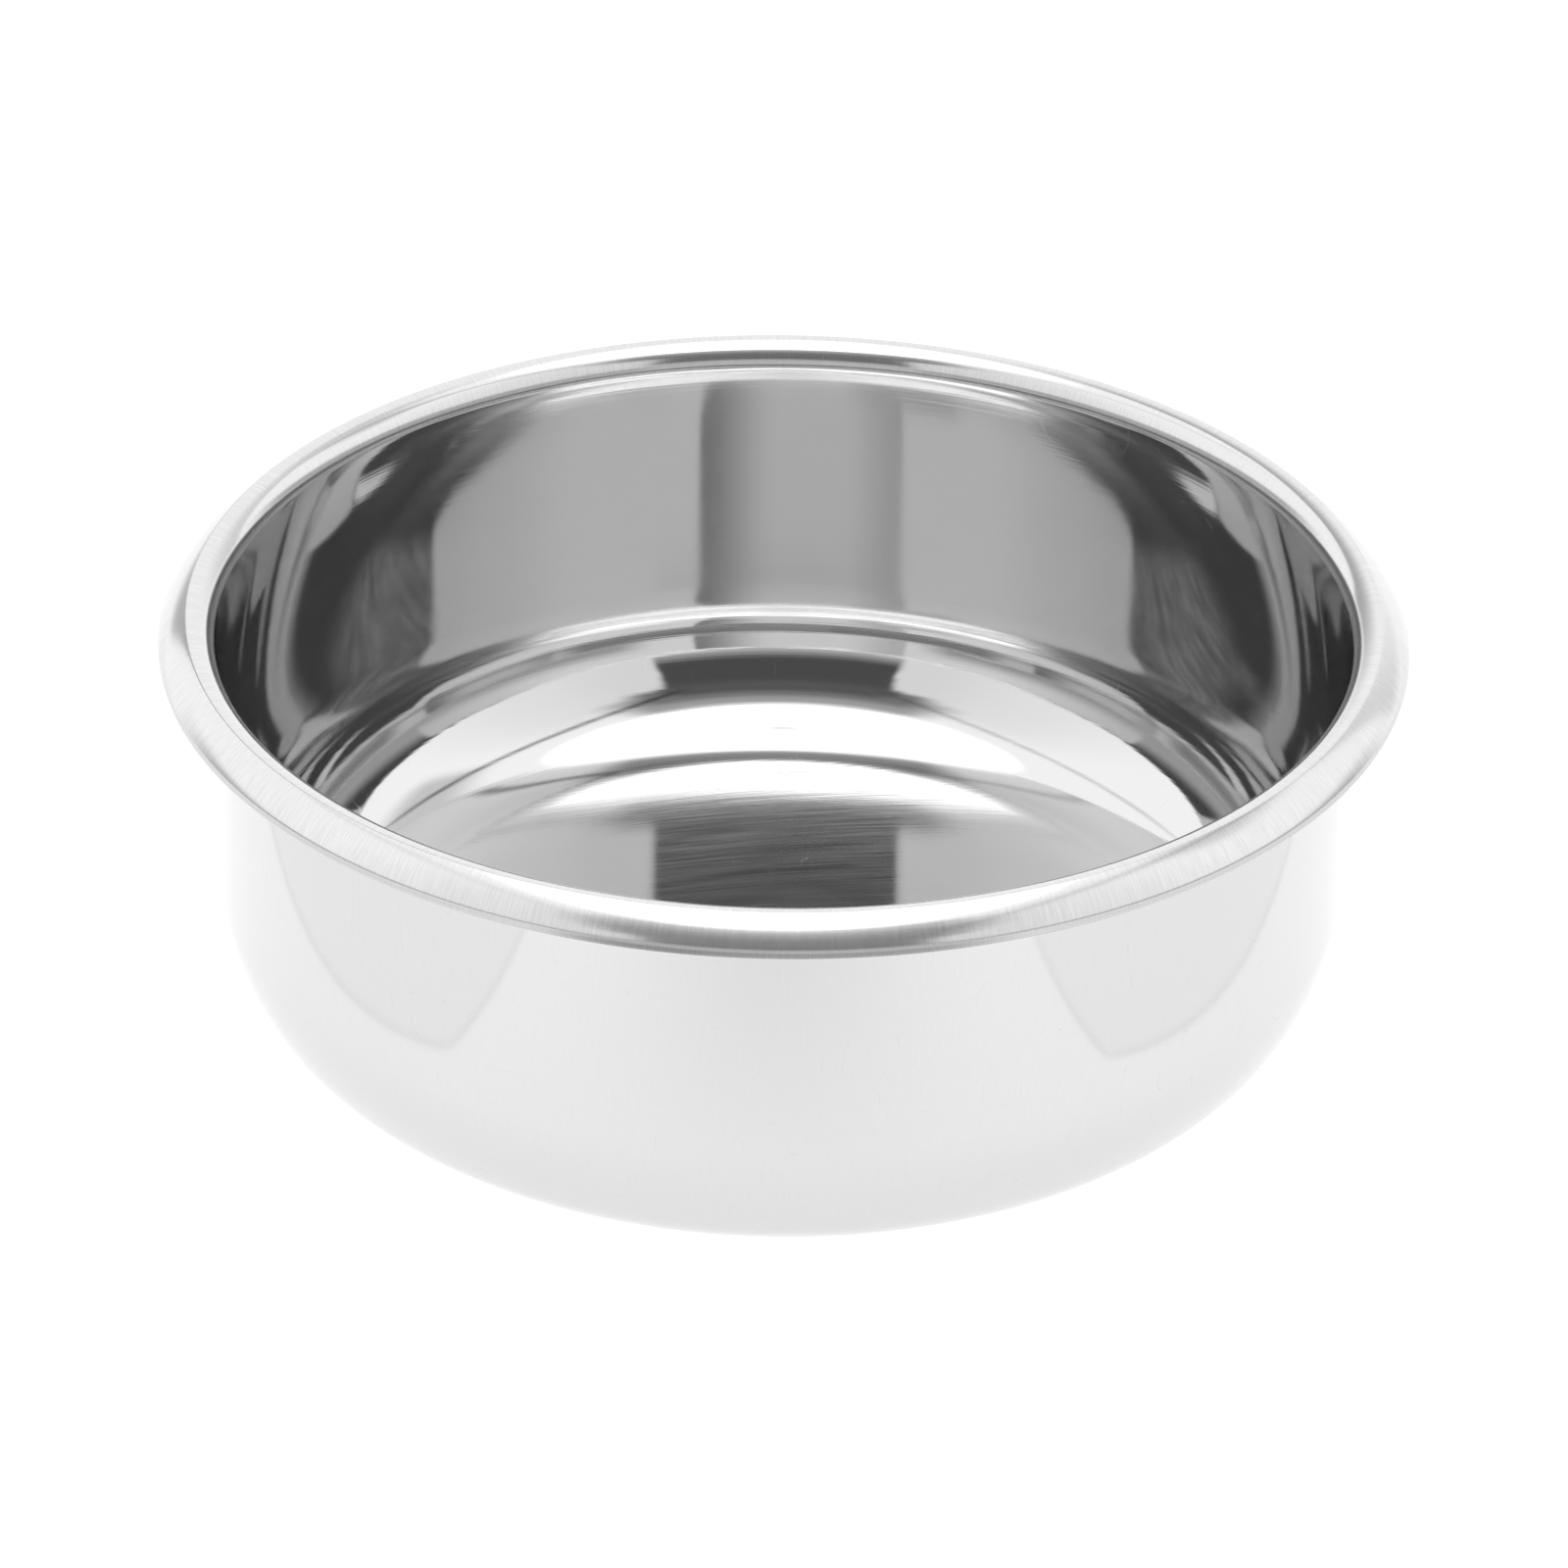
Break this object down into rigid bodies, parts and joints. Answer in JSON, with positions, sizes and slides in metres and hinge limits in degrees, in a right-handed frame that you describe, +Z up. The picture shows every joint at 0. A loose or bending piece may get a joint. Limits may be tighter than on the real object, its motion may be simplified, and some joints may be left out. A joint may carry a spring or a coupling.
{
  "type": "shaving bowl",
  "caption": "Round steel lather bowl with a flat floor, straight walls and a rolled, outward-turned rim stiffened by a hidden wire.",
  "frame": {"origin": "centre of the flat underside that the bowl stands on", "axes": "+Z up along the bowl's axis, out of its mouth; the bowl is round, so X and Y are free"},
  "size_m": [0.12, 0.12, 0.043],
  "materials": {
    "polished_steel": "mirror-polished stainless sheet with faint turning marks, satin on the outer slope of the rim",
    "wire_steel": "dull drawn steel wire"
  },
  "bodies": {
    "root": {"bowl_shell": "polished_steel", "rim_wire": "wire_steel"}
  },
  "joints": []
}
